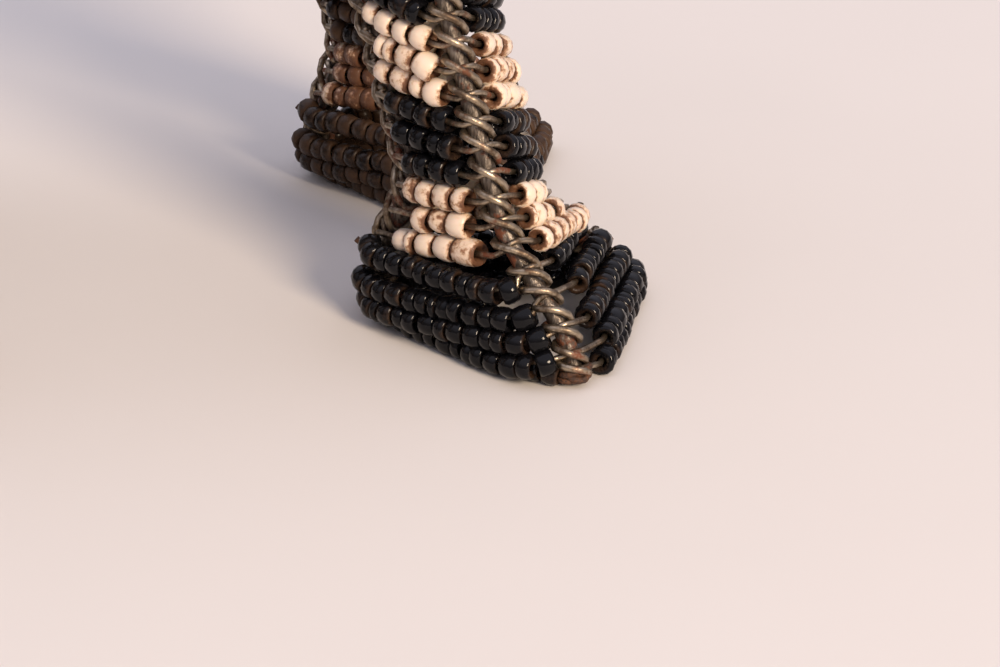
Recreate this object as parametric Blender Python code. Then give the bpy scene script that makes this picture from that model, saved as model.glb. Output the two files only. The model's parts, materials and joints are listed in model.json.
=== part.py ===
"""A standing zebra of glass beads strung on wire, in metres, +Z up, head towards +X.

The figure is a frame of stiff armature wires. Thin binding wire, strung with glass beads, runs in rows from one
armature wire to the next, so every limb is a tube with one flat side between each two neighbouring wires.
A limb is described by a function of the row number s that gives the place where a row crosses each wire.
Row number k has its beads' centres at s = k + 0.5 and the groove below them at s = k.
The origin is on the ground, below the middle of the figure's outer box.
"""

import bmesh
import bpy
import numpy as np
from mathutils import Vector

MM = 0.001

# Beads and wires
BEAD_DIAMETER = 3.0 * MM
ROW_GROOVE = 0.8 * MM        # depth of the groove between two rows
ROW_PITCH = 3.00 * MM        # from row to row on the barrel, neck and head
ROW_END = 2.6 * MM           # least way from a wire's centre to where the beads of a row begin
WIRE_DIAMETER = 2.0 * MM
BINDING_DIAMETER = 0.7 * MM  # the thin wire that the beads are strung on
WIRE_SEAT = 0.5 * MM         # room between a leg's wire and the flat of the beads behind it
GAP = 0.3 * MM               # clearance between neighbouring pieces
ROWS_PER_STRIPE = 3

# Stance
WHEELBASE = 82.0 * MM        # between the middles of the front and hind hooves
TRACK = 48.8 * MM            # between the middles of the left and right hooves
STANCE_SHIFT = 3.0 * MM      # how far the hooves' middle lies behind the barrel's
FRONT_LEAN = -0.211          # forward travel of the leg for each unit of height
HIND_LEAN = 0.145
SIDE_LEAN = 0.239            # travel towards the mid-plane for each unit of height

# Leg and hoof
LEG_RADIUS = 7.9 * MM        # from the leg's axis to its three armature wires
HOOF_RADIUS = 16.7 * MM
FLARE_BOTTOM = 4.0 * MM      # heights between which the hoof narrows into the leg
FLARE_TOP = 17.0 * MM
HOOF_OFFSET = 4.6 * MM       # how far the hoof's middle lies inside the leg's axis
SHANK_SET = 2.3 * MM         # how far the leg's axis stands behind the hoof's middle
LEG_YAW = -85.0              # direction of the first wire, in degrees from +X
HOOF_YAW = -84.0
HOOF_ROWS = 5
FIRST_ROW = 0.37 * MM        # height of the first groove on the first wire
HOOF_PITCH = 2.27 * MM       # height from row to row in the hoof and in the leg
LEG_PITCH = 2.70 * MM
FORE_DROP = (2.3 * MM, 4.6 * MM)     # how much lower the rows cross the second wire
FORE_DROP_AT = (9.0 * MM, 16.0 * MM)
AFT_RISE = (-4.1 * MM, 3.4 * MM)     # how much higher they cross the third wire
AFT_RISE_AT = (6.0 * MM, 38.0 * MM)
LEG_WIRES = 3
LEG_WIRE_BENDS = 7           # points of a leg's wire over the flare

# Barrel
BARREL_LENGTH = 98.0 * MM
BARREL_HEIGHT = 54.0 * MM
BARREL_WIDTH = 50.0 * MM
BARREL_CENTRE = 84.0 * MM    # height of the barrel's axis above the ground
BARREL_WIRES = 8
# Shares of length, half height and half width, and the axis's lift as a share of half height
BARREL_SHAPE = (
    (0.00, 0.16, 0.16, 0.24),
    (0.03, 0.50, 0.48, 0.20),
    (0.10, 0.83, 0.82, 0.11),
    (0.22, 0.98, 0.97, 0.02),
    (0.42, 0.94, 0.97, 0.03),
    (0.62, 0.96, 1.00, -0.02),
    (0.80, 0.98, 0.96, 0.00),
    (0.92, 0.78, 0.75, 0.06),
    (0.98, 0.48, 0.46, 0.10),
    (1.00, 0.16, 0.16, 0.11),
)

# Neck
NECK_LENGTH = 62.0 * MM
NECK_LEAN = 28.0             # degrees forward of upright
NECK_SETBACK = 20.0 * MM     # from the chest back to the neck's root
NECK_DEPTH = 40.0 * MM       # front to back at the root
NECK_WIDTH = 31.0 * MM
NECK_WIRES = 5
# Shares of length and of half depth and half width, and backward bow as a share of length
NECK_SHAPE = (
    (0.00, 1.00, 1.00, 0.00),
    (0.25, 0.88, 0.88, -0.03),
    (0.50, 0.74, 0.77, -0.04),
    (0.75, 0.62, 0.62, -0.02),
    (1.00, 0.50, 0.44, 0.02),
)

# Head
HEAD_LENGTH = 50.0 * MM
HEAD_DROP = 30.0             # degrees below level
HEAD_DEPTH = 26.0 * MM
HEAD_WIDTH = 20.0 * MM
HEAD_SETBACK = 9.0 * MM      # from the neck's top back to the poll
HEAD_RISE = 6.0 * MM
HEAD_WIRES = 5
# Shares of length, half depth and half width, and the axis's lift as a share of half depth
HEAD_SHAPE = (
    (0.00, 0.20, 0.25, 0.10),
    (0.04, 0.62, 0.66, 0.08),
    (0.14, 0.92, 0.92, 0.03),
    (0.30, 1.00, 1.00, 0.00),
    (0.50, 0.80, 0.84, 0.14),
    (0.70, 0.60, 0.68, 0.26),
    (0.88, 0.58, 0.70, 0.26),
    (0.97, 0.44, 0.52, 0.24),
    (1.00, 0.20, 0.25, 0.22),
)
EYE_DIAMETER = 4.2 * MM
EYE_ROW = 5.2                # row number at which the eyes sit
EYE_SINK = 0.9 * MM          # how far an eye's centre lies outside the wires it sits between

# Ears, mane and tail
EAR_HEIGHT = 17.0 * MM
EAR_WIDTH = 9.0 * MM
EAR_ROW = 2.8                # row of the head that the ears stand on
EAR_SPREAD = 20.0            # degrees outward from upright
EAR_TURN = 35.0              # degrees that the ear's face turns outward
MANE_HEIGHT = 7.5 * MM
TAIL_LENGTH = 36.0 * MM
TAIL_REACH = 15.0 * MM       # how far back the tail hangs from its root
TAIL_ROW = 2.0               # row of the barrel's back that the tail leaves
TUFT_LENGTH = 20.0 * MM
TUFT_DIAMETER = 9.0 * MM
TUFT_WIRES = 4
# Shares of the tuft's length and half diameter
TUFT_SHAPE = ((0.0, 0.35), (0.25, 0.85), (0.55, 1.0), (0.85, 0.8), (1.0, 0.35))

BEAD_RADIUS = BEAD_DIAMETER / 2
WIRE_RADIUS = WIRE_DIAMETER / 2
STAND_OFF = WIRE_RADIUS + BINDING_DIAMETER / 2   # where the binding wire passes over a leg's wire
DENSE = 400                  # samples on a centre line before it is divided into rows
HALF_WAY = 0.01              # small step in row number, for slopes


def clear_scene():
    """Remove every object, so that the script can be run again."""
    for item in list(bpy.data.objects):
        bpy.data.objects.remove(item, do_unlink=True)


def collection(name):
    """A collection of this name, linked to the scene."""
    group = bpy.data.collections.get(name) or bpy.data.collections.new(name)
    if group.name not in bpy.context.scene.collection.children:
        bpy.context.scene.collection.children.link(group)
    return group


def material(name, colour, roughness, metallic=0.0):
    """A Principled material."""
    made = bpy.data.materials.new(name)
    made.use_nodes = True
    shader = made.node_tree.nodes["Principled BSDF"]
    shader.inputs["Base Color"].default_value = (*colour, 1.0)
    shader.inputs["Roughness"].default_value = roughness
    shader.inputs["Metallic"].default_value = metallic
    return made


def unit(vectors):
    """The vectors scaled to length one."""
    return vectors / np.linalg.norm(vectors, axis=-1, keepdims=True)


def smooth_step(t):
    """0 below t = 0, 1 above t = 1, and 3t^2 - 2t^3 between."""
    t = np.clip(t, 0.0, 1.0)
    return t * t * (3.0 - 2.0 * t)


def curve_through(points, count):
    """A Catmull-Rom curve through the points, sampled at count places."""
    points = np.asarray(points, dtype=float)
    padded = np.vstack([2 * points[0] - points[1], points, 2 * points[-1] - points[-2]])
    place = np.linspace(0, len(points) - 1, count)
    span = np.minimum(place.astype(int), len(points) - 2)
    t = (place - span)[:, None]
    a, b, c, d = (padded[span + k] for k in range(4))
    return 0.5 * (2 * b + (c - a) * t + (2 * a - 5 * b + 4 * c - d) * t**2 + (3 * b - a - 3 * c + d) * t**3)


def tube(stations, wires):
    """Row crossings of a tube in the mid-plane, and its number of rows.

    Each station is (x, z, half height, half width) to the wires. A section stands square to the centre line,
    and its wires lie on an ellipse at equal angles, the first on the back.
    """
    line = curve_through(stations, DENSE)
    along = unit(np.gradient(line[:, :2], axis=0))
    back = np.column_stack([-along[:, 1], along[:, 0]])
    angle = np.radians(90.0 + 360.0 * np.arange(wires) / wires)
    rise = line[:, 2, None] * np.sin(angle)
    centres = np.stack([
        line[:, 0, None] + back[:, 0, None] * rise,
        line[:, 3, None] * np.cos(angle),
        line[:, 1, None] + back[:, 1, None] * rise,
    ], axis=-1)
    steps = np.linalg.norm(np.diff(centres, axis=0), axis=-1).mean(axis=1)
    travelled = np.concatenate([[0.0], np.cumsum(steps)])
    rows = max(2, round(travelled[-1] / ROW_PITCH))
    place = travelled / travelled[-1] * rows
    flat = centres.reshape(DENSE, -1)

    def crossings(s):
        inside = np.clip(s, 0.0, rows)
        slope = (flat[-1] - flat[-2]) / (place[-1] - place[-2]) if s > rows else 0.0
        if s < 0:
            slope = (flat[1] - flat[0]) / (place[1] - place[0])
        here = np.array([np.interp(inside, place, column) for column in flat.T])
        return (here + slope * (s - inside)).reshape(wires, 3)

    return crossings, rows


def row_ring(crossings, s, swell, seated=False):
    """The outline of row s: on each side two points, raised by swell.

    The points lie ROW_END from a wire, which leaves a flat at each corner. Where the wires are seated, the flat
    lies WIRE_SEAT inside the wire: with 2e the angle between the normals of the two sides at a wire, the points
    lie (swell cos e + wire radius + seat) / sin e from its axis, and further along a row that meets the wire
    at a slant. A piece with two wires takes its wires in.
    """
    here = crossings(s)
    there = np.roll(here, -1, axis=0)
    run = there - here
    length = np.linalg.norm(run, axis=1, keepdims=True)
    climb = crossings(s + HALF_WAY) - crossings(s - HALF_WAY)
    out = unit(np.cross(run, climb + np.roll(climb, -1, axis=0)))
    run = run / length
    inset = outset = np.minimum(ROW_END, 0.3 * length)
    if len(here) == 2:
        inset = outset = -WIRE_RADIUS
    if seated:
        half_turn = np.arccos((out * np.roll(out, 1, axis=0)).sum(axis=1, keepdims=True)) / 2
        clear = (swell * np.cos(half_turn) + WIRE_RADIUS + WIRE_SEAT) / np.sin(half_turn)
        clear = np.maximum(clear, ROW_END)
        way = unit(climb)
        inset = clear / np.linalg.norm(np.cross(run, way), axis=1, keepdims=True)
        slant = np.linalg.norm(np.cross(run, np.roll(way, -1, axis=0)), axis=1, keepdims=True)
        outset = np.roll(clear, -1, axis=0) / slant
    start = here + inset * run + out * swell
    end = there - outset * run + out * swell
    return np.stack([start, end], axis=1).reshape(-1, 3)


def loft(name, rings, row_of_ring, colour_of_row, group):
    """A closed solid through rings of equal count, capped with a fan at each end."""
    rings = np.asarray(rings)
    count, size = rings.shape[:2]
    points = np.vstack([rings.reshape(-1, 3), rings[0].mean(axis=0), rings[-1].mean(axis=0)])
    first, last = count * size, count * size + 1
    faces, slots = [], []
    for j in range(count - 1):
        for i in range(size):
            k = (i + 1) % size
            faces.append((j * size + i, j * size + k, (j + 1) * size + k, (j + 1) * size + i))
            slots.append(colour_of_row(row_of_ring[j]))
    top = (count - 1) * size
    for i in range(size):
        k = (i + 1) % size
        faces.append((first, k, i))
        slots.append(colour_of_row(row_of_ring[0]))
        faces.append((last, top + i, top + k))
        slots.append(colour_of_row(row_of_ring[-2]))
    mesh = bpy.data.meshes.new(name)
    mesh.from_pydata(points.tolist(), [], faces)
    for finish in (WHITE_GLASS, BLACK_GLASS):
        mesh.materials.append(finish)
    mesh.polygons.foreach_set("material_index", slots)
    made = bpy.data.objects.new(name, mesh)
    group.objects.link(made)
    return made


def bead_rows(name, crossings, start, end, colour_of_row, seated=False, trim=(0.0, 0.0)):
    """A limb's fused beads from row start to row end: a ridge for each row and a groove between.

    The rows of a leg, whose wires are seated, pass over the outside of its wires and so stand off by that much.
    trim lifts the first outline and lowers the last, for the clearance to a neighbour.
    """
    rings, rows = [], []
    for half in range(2 * start, 2 * end + 1):
        swell = BEAD_RADIUS if half % 2 else BEAD_RADIUS - ROW_GROOVE
        swell += STAND_OFF if seated else 0.0
        rings.append(row_ring(crossings, half / 2, swell, seated))
        rows.append(half // 2)
    rings[0] = rings[0] + np.array([0, 0, trim[0]])
    rings[-1] = rings[-1] - np.array([0, 0, trim[1]])
    return loft(name, rings, rows, colour_of_row, PARTS)


def envelope(name, crossings, rows):
    """A smooth cutter that stands GAP outside a limb's beads."""
    places = [0, *(np.arange(rows) + 0.5), rows]
    rings = [row_ring(crossings, s, BEAD_RADIUS + GAP) for s in places]
    first, last = rings[0].mean(axis=0), rings[-1].mean(axis=0)
    rings[0] = rings[0] + unit(first - rings[1].mean(axis=0)) * GAP
    rings[-1] = rings[-1] + unit(last - rings[-2].mean(axis=0)) * GAP
    made = loft(name, rings, [0] * len(rings), lambda row: 0, CUTTERS)
    return as_cutter(made)


def as_cutter(made):
    """Show an object as a wire outline and keep it out of renders."""
    made.hide_render = True
    made.display_type = "WIRE"
    return made


def cut(piece, *cutters):
    """Take the cutters away from the piece."""
    for cutter in cutters:
        boolean = piece.modifiers.new("cut_by_" + cutter.name, "BOOLEAN")
        boolean.operation = "DIFFERENCE"
        boolean.solver = "EXACT"
        boolean.object = cutter
    return piece


def wire(name, points, radius, finish, radii=None):
    """A capped round wire through the points, as a mesh that a cutter can cut."""
    curve = bpy.data.curves.new(name, "CURVE")
    curve.dimensions = "3D"
    curve.bevel_depth = radius
    curve.bevel_resolution = 1
    curve.use_fill_caps = True
    spline = curve.splines.new("POLY")
    spline.points.add(len(points) - 1)
    for k, point in enumerate(points):
        spline.points[k].co = (*point, 1.0)
        spline.points[k].radius = 1.0 if radii is None else radii[k]
    guide = bpy.data.objects.new(name + "_guide", curve)
    CUTTERS.objects.link(guide)
    bpy.context.view_layer.update()
    mesh = bpy.data.meshes.new_from_object(guide.evaluated_get(bpy.context.evaluated_depsgraph_get()))
    edit = bmesh.new()
    edit.from_mesh(mesh)
    bmesh.ops.remove_doubles(edit, verts=edit.verts, dist=0.01 * MM)
    bmesh.ops.recalc_face_normals(edit, faces=edit.faces)
    edit.to_mesh(mesh)
    edit.free()
    mesh.name = name
    mesh.materials.clear()
    mesh.materials.append(finish)
    mesh.shade_smooth()
    made = bpy.data.objects.new(name, mesh)
    made.matrix_world = guide.matrix_world
    bpy.data.objects.remove(guide, do_unlink=True)
    PARTS.objects.link(made)
    return made


def sphere(name, centre, diameter, group, finish=None):
    """A round bead, or the cutter for its seat."""
    bpy.ops.mesh.primitive_uv_sphere_add(segments=8, ring_count=5, radius=diameter / 2, location=centre)
    made = bpy.context.object
    made.name = name
    for old in list(made.users_collection):
        old.objects.unlink(made)
    group.objects.link(made)
    if finish:
        made.data.materials.append(finish)
        made.data.shade_smooth()
    return made


def stripes(first):
    """Colour slot of a row, in stripes of ROWS_PER_STRIPE rows counted from row first: white, black, white."""
    return lambda row: int((row - first) // ROWS_PER_STRIPE) % 2


def all_black(row):
    """Every row is black."""
    return 1


def row_height(s):
    """Height at which row s crosses a leg's first wire."""
    in_hoof = np.minimum(s, HOOF_ROWS)
    return FIRST_ROW + HOOF_PITCH * in_hoof + LEG_PITCH * (s - in_hoof)


def leg_wire(foot, side, lean, height, number):
    """Place of one of a leg's wires at a height.

    The axis leans, the radius and the turn go from the hoof's to the leg's over the flare, and the wires stand
    a third of a turn apart.
    """
    in_hoof = 1.0 - smooth_step((height - FLARE_BOTTOM) / (FLARE_TOP - FLARE_BOTTOM))
    radius = LEG_RADIUS + (HOOF_RADIUS - LEG_RADIUS) * in_hoof
    yaw = np.radians(LEG_YAW + (HOOF_YAW - LEG_YAW) * in_hoof + 360.0 * number / LEG_WIRES)
    inward = SIDE_LEAN * height - HOOF_OFFSET * (1.0 - in_hoof)
    return np.array([
        foot[0] + lean * height - SHANK_SET * (1.0 - in_hoof) + radius * np.cos(yaw),
        foot[1] - side * inward + radius * np.sin(yaw),
        height,
    ])


def leg_crossings(foot, side, lean):
    """Row crossings of a leg: the rows drop towards the second wire, and rise up the leg on the third."""
    def crossings(s):
        height = row_height(s)
        shift = (0.0, -np.interp(height, FORE_DROP_AT, FORE_DROP), np.interp(height, AFT_RISE_AT, AFT_RISE))
        return np.array([leg_wire(foot, side, lean, height + shift[k], k) for k in range(LEG_WIRES)])
    return crossings


def make_leg(place, foot, side, lean, barrel_cutter, ground):
    """A leg's beads, its hoof's beads and its three armature wires."""
    crossings = leg_crossings(foot, side, lean)
    top = HOOF_ROWS + int(np.ceil((BARREL_CENTRE - row_height(HOOF_ROWS)) / LEG_PITCH))
    leg = bead_rows(f"leg_{place}_beads", crossings, HOOF_ROWS, top, stripes(HOOF_ROWS), True, (GAP / 2, 0.0))
    cut(leg, barrel_cutter)
    hoof = bead_rows(f"hoof_{place}_beads", crossings, -2, HOOF_ROWS, all_black, True, (0.0, GAP / 2))
    cut(hoof, ground)
    bends = np.linspace(FLARE_BOTTOM, FLARE_TOP, LEG_WIRE_BENDS)
    heights = [WIRE_RADIUS, *bends, BARREL_CENTRE - WIRE_DIAMETER]
    for number in range(LEG_WIRES):
        route = [leg_wire(foot, side, lean, height, number) for height in heights]
        cut(wire(f"leg_{place}_wire_{number + 1}", route, WIRE_RADIUS, STEEL), barrel_cutter)


def barrel_stations():
    """Centre line and half sizes of the barrel, to its wires."""
    rump = -BARREL_LENGTH / 2 + BEAD_RADIUS
    reach = BARREL_LENGTH - BEAD_DIAMETER
    half_height = BARREL_HEIGHT / 2 - BEAD_RADIUS
    half_width = BARREL_WIDTH / 2 - BEAD_RADIUS
    return [
        (rump + reach * along, BARREL_CENTRE + half_height * lift, half_height * tall, half_width * wide)
        for along, tall, wide, lift in BARREL_SHAPE
    ]


def neck_stations():
    """Centre line and half sizes of the neck, from inside the barrel to inside the head."""
    lean = np.radians(NECK_LEAN)
    root = np.array([BARREL_LENGTH / 2 - NECK_SETBACK, BARREL_CENTRE + BARREL_HEIGHT / 6])
    along, across = np.array([np.sin(lean), np.cos(lean)]), np.array([np.cos(lean), -np.sin(lean)])
    return [
        (*(root + NECK_LENGTH * (share * along + bow * across)),
         (NECK_DEPTH / 2 - BEAD_RADIUS) * deep, (NECK_WIDTH / 2 - BEAD_RADIUS) * wide)
        for share, deep, wide, bow in NECK_SHAPE
    ]


def head_stations(neck_top):
    """Centre line and half sizes of the head, from the poll to the muzzle."""
    drop = np.radians(HEAD_DROP)
    poll = np.array(neck_top[:2]) + np.array([-HEAD_SETBACK, HEAD_RISE])
    along, up = np.array([np.cos(drop), -np.sin(drop)]), np.array([np.sin(drop), np.cos(drop)])
    half_depth = HEAD_DEPTH / 2 - BEAD_RADIUS
    return [
        (*(poll + (HEAD_LENGTH - BEAD_DIAMETER) * share * along + half_depth * lift * up),
         half_depth * deep, (HEAD_WIDTH / 2 - BEAD_RADIUS) * wide)
        for share, deep, wide, lift in HEAD_SHAPE
    ]


def ear_crossings(head, side):
    """Row crossings of an ear: two wires that bow apart and meet again, rising from the head.

    The half width is proportional to sin(pi t^0.75) with t the share of the height, over a narrow root.
    """
    rows = max(3, round(EAR_HEIGHT / ROW_PITCH))
    places = head(EAR_ROW)
    root = (places[0] + places[-1 if side > 0 else 1]) / 2
    spread, turn = np.radians(EAR_SPREAD), np.radians(EAR_TURN)
    rise = np.array([0.0, side * np.sin(spread), np.cos(spread)])
    across = np.array([np.sin(turn), side * np.cos(turn), 0.0])
    across = unit(across - rise * (across @ rise))

    def crossings(s):
        share = s / rows
        half = EAR_WIDTH / 2 * (0.35 + 0.65 * np.sin(np.pi * np.clip(share, 0.0, 1.0) ** 0.75)) - BEAD_RADIUS / 2
        centre = root + rise * EAR_HEIGHT * share
        return np.array([centre - across * half, centre + across * half])

    return crossings, rows


def mane_crossings(neck):
    """Row crossings of the mane: one wire on the neck's back and one MANE_HEIGHT above its beads."""
    def crossings(s):
        places = neck(s)
        back = unit(places[0] - places.mean(axis=0))
        return np.array([places[0], places[0] + back * (MANE_HEIGHT - WIRE_RADIUS)])
    return crossings


def make_tail(barrel, barrel_cutter):
    """A string of beads that hangs from the rump, and a tuft of strings below it."""
    root = barrel(TAIL_ROW)[0]
    share = np.linspace(0.0, 1.0, 2 * round(TAIL_LENGTH / BEAD_DIAMETER) + 1)
    bend = 1.0 - (1.0 - share) ** 2
    route = np.column_stack([
        root[0] - TAIL_REACH * bend,
        np.zeros_like(share),
        root[2] - (TAIL_LENGTH - BEAD_RADIUS) * (0.15 * share + 0.85 * share**2),
    ])
    radii = np.where(np.arange(len(share)) % 2, 1.0, 1.0 - ROW_GROOVE / BEAD_RADIUS)
    cut(wire("tail_string", route, BEAD_RADIUS, BLACK_GLASS, radii), barrel_cutter)
    top = route[-1] - np.array([0.0, 0.0, BEAD_RADIUS + GAP])
    half = TUFT_DIAMETER / 2 - BEAD_RADIUS
    stations = [(top[0], top[2] - TUFT_LENGTH * along, half * size, half * size) for along, size in TUFT_SHAPE]
    tuft, rows = tube(stations, TUFT_WIRES)
    bead_rows("tail_tuft", tuft, 0, rows, all_black)


def stand_on_origin():
    """Put all pieces and cutters under one empty, and move it until the figure's outer box is centred."""
    bpy.context.view_layer.update()
    shapes = bpy.context.evaluated_depsgraph_get()
    corners = []
    for piece in PARTS.objects:
        solid = piece.evaluated_get(shapes)
        corners += [solid.matrix_world @ Vector(corner) for corner in solid.bound_box]
    corners = np.array(corners)
    middle = (corners.min(axis=0) + corners.max(axis=0)) / 2
    figure = bpy.data.objects.new("figure", None)
    for piece in (*PARTS.objects, *CUTTERS.objects):
        piece.parent = figure
    PARTS.objects.link(figure)
    figure.location = (-middle[0], -middle[1], 0.0)


clear_scene()
PARTS = collection("beadwork_zebra")
CUTTERS = collection("cutters")
WHITE_GLASS = material("cream_glass", (0.86, 0.75, 0.60), 0.25)
BLACK_GLASS = material("black_glass", (0.012, 0.011, 0.012), 0.12)
STEEL = material("grey_wire", (0.32, 0.27, 0.22), 0.45, 0.9)

barrel, barrel_rows = tube(barrel_stations(), BARREL_WIRES)
neck, neck_rows = tube(neck_stations(), NECK_WIRES)
head, head_rows = tube(head_stations(neck_stations()[-1]), HEAD_WIRES)
barrel_cutter = envelope("barrel_cutter", barrel, barrel_rows)
neck_cutter = envelope("neck_cutter", neck, neck_rows)
head_cutter = envelope("head_cutter", head, head_rows)
bpy.ops.mesh.primitive_cube_add(size=1.0, location=(0.0, 0.0, -0.5))
ground = as_cutter(bpy.context.object)
ground.name = "ground_cutter"
for old in list(ground.users_collection):
    old.objects.unlink(ground)
CUTTERS.objects.link(ground)

bead_rows("barrel_beads", barrel, 0, barrel_rows, stripes(1))
cut(bead_rows("neck_beads", neck, 0, neck_rows, stripes(0)), barrel_cutter, head_cutter)
head_piece = bead_rows("head_beads", head, 0, head_rows,
                       lambda row: 1 if row > head_rows - 5 else stripes(1)(row))
cut(bead_rows("mane_beads", mane_crossings(neck), 0, neck_rows, stripes(0)),
    barrel_cutter, neck_cutter, head_cutter)

for side, name in ((1, "left"), (-1, "right")):
    ear, ear_rows = ear_crossings(head, side)
    cut(bead_rows(f"ear_{name}_beads", ear, 0, ear_rows, stripes(3)), head_cutter)
    places = head(EYE_ROW)
    pair = places[1:3] if side < 0 else places[-2:]
    centre = pair.mean(axis=0) + np.array([0.0, side * EYE_SINK, 0.0])
    sphere(f"eye_{name}", centre, EYE_DIAMETER, PARTS, BLACK_GLASS)
    seat = as_cutter(sphere(f"eye_seat_{name}", centre, EYE_DIAMETER + 2 * GAP, CUTTERS))
    cut(head_piece, seat)

for end, place_x, lean in (("front", WHEELBASE / 2, FRONT_LEAN), ("hind", -WHEELBASE / 2, HIND_LEAN)):
    for side, name in ((1, "left"), (-1, "right")):
        foot = (place_x - STANCE_SHIFT, side * TRACK / 2)
        make_leg(f"{end}_{name}", foot, side, lean, barrel_cutter, ground)
make_tail(barrel, barrel_cutter)
stand_on_origin()
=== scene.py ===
# %% [markdown]
# # A zebra of glass beads and wire
#
# The figure is beadwork. Stiff armature wires give the shape of each limb, and rows of glass beads, strung
# on a thin binding wire, run from one armature wire to the next. Nothing here is a solid block: light
# passes between the beads, and the wires show at every corner. So every bead and every turn of wire is made
# as a mesh.
#
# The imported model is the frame. It says where the feet stand and how large the figure is.

import json

import bpy
import numpy as np
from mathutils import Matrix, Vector
from mathutils.bvhtree import BVHTree


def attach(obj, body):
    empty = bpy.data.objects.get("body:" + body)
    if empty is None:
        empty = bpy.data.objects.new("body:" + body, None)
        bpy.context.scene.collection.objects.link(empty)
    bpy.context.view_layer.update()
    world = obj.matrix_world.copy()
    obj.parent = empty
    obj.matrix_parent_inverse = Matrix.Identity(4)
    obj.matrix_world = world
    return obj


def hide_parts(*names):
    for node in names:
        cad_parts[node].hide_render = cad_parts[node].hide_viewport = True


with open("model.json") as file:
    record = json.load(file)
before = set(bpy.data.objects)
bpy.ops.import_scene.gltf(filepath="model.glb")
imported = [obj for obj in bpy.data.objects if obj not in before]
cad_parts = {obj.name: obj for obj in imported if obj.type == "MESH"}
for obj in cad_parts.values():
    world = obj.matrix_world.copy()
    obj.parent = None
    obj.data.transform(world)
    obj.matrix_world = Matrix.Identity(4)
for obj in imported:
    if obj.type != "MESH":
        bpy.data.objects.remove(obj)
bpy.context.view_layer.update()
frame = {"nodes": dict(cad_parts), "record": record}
MM = 0.001
CHANCE = np.random.default_rng(11)
SOLES = {mount["name"]: np.array(mount["pos_m"]) for mount in frame["record"]["mounts"]}
print("feet at", {name: place.tolist() for name, place in SOLES.items()})

# %% [markdown]
# ## The camera
#
# The view is a close one of one front hoof, from slightly above and from the front of the animal's right
# side. The lens is long, so parallel rows stay nearly parallel. The camera is placed from the toe of that
# hoof, the lowest end of its first armature wire, because that point is sharp and easy to find in the view.

# %% Place the camera
HOOF_RADIUS = 16.7 * MM      # from a hoof's middle to its three armature wires
HOOF_YAW = -84.0             # direction of the hoof's first wire, in degrees from +X
VIEW_TURN = np.radians(12.0)     # the camera's way round the figure, from square on
VIEW_DROP = np.radians(24.0)     # and how far it looks down
TOE_DISTANCE = 297.0 * MM
TOE_RIGHT = 8.34 * MM        # the toe's place in the view, from its middle
TOE_DOWN = 5.5 * MM
LENS = 100.0


def turned(radius, degrees):
    """A point on a level circle about the origin."""
    angle = np.radians(degrees)
    return np.array([radius * np.cos(angle), radius * np.sin(angle), 0.0])


toe = SOLES["sole_front_right"] + turned(HOOF_RADIUS, HOOF_YAW)
level = np.array([np.sin(VIEW_TURN), np.cos(VIEW_TURN), 0.0])
ahead = level * np.cos(VIEW_DROP) - np.array([0.0, 0.0, np.sin(VIEW_DROP)])
right = np.array([np.cos(VIEW_TURN), -np.sin(VIEW_TURN), 0.0])
above = np.cross(right, ahead)
lens = bpy.data.cameras.new("camera")
lens.lens = LENS
lens.clip_start = 10 * MM
camera = bpy.data.objects.new("camera", lens)
camera.location = toe - TOE_DISTANCE * ahead - TOE_RIGHT * right + TOE_DOWN * above
camera.rotation_euler = Vector(ahead).to_track_quat("-Z", "Y").to_euler()
bpy.context.scene.collection.objects.link(camera)
bpy.context.scene.camera = camera
print("camera at", [round(v, 4) for v in camera.location])

# %% [markdown]
# ## Shader maths as plain expressions
#
# A pattern is arithmetic on numbers that change over the surface. A small class wraps a socket and
# overloads the operators, so that `1 - mask` adds a Math node. A second class is the material: one method
# adds any node.

# %% A value that flows through nodes


class Flow:
    """A number on a node's output. Arithmetic on it adds Math nodes to the same finish."""

    def __init__(self, finish, socket):
        self.finish = finish
        self.socket = socket

    def __add__(self, other):
        return self.finish.maths("ADD", self, other)

    def __sub__(self, other):
        return self.finish.maths("SUBTRACT", self, other)

    def __mul__(self, other):
        return self.finish.maths("MULTIPLY", self, other)

    __radd__ = __add__
    __rmul__ = __mul__

    def __rsub__(self, other):
        return self.finish.maths("SUBTRACT", other, self)

    def ramp(self, low, high):
        """0 below low, 1 above high, and a smooth step between."""
        sockets = {"Value": self, "From Min": low, "From Max": high}
        made = self.finish.node("ShaderNodeMapRange", {"interpolation_type": "SMOOTHSTEP"}, sockets)
        return Flow(self.finish, made.outputs["Result"])


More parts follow.
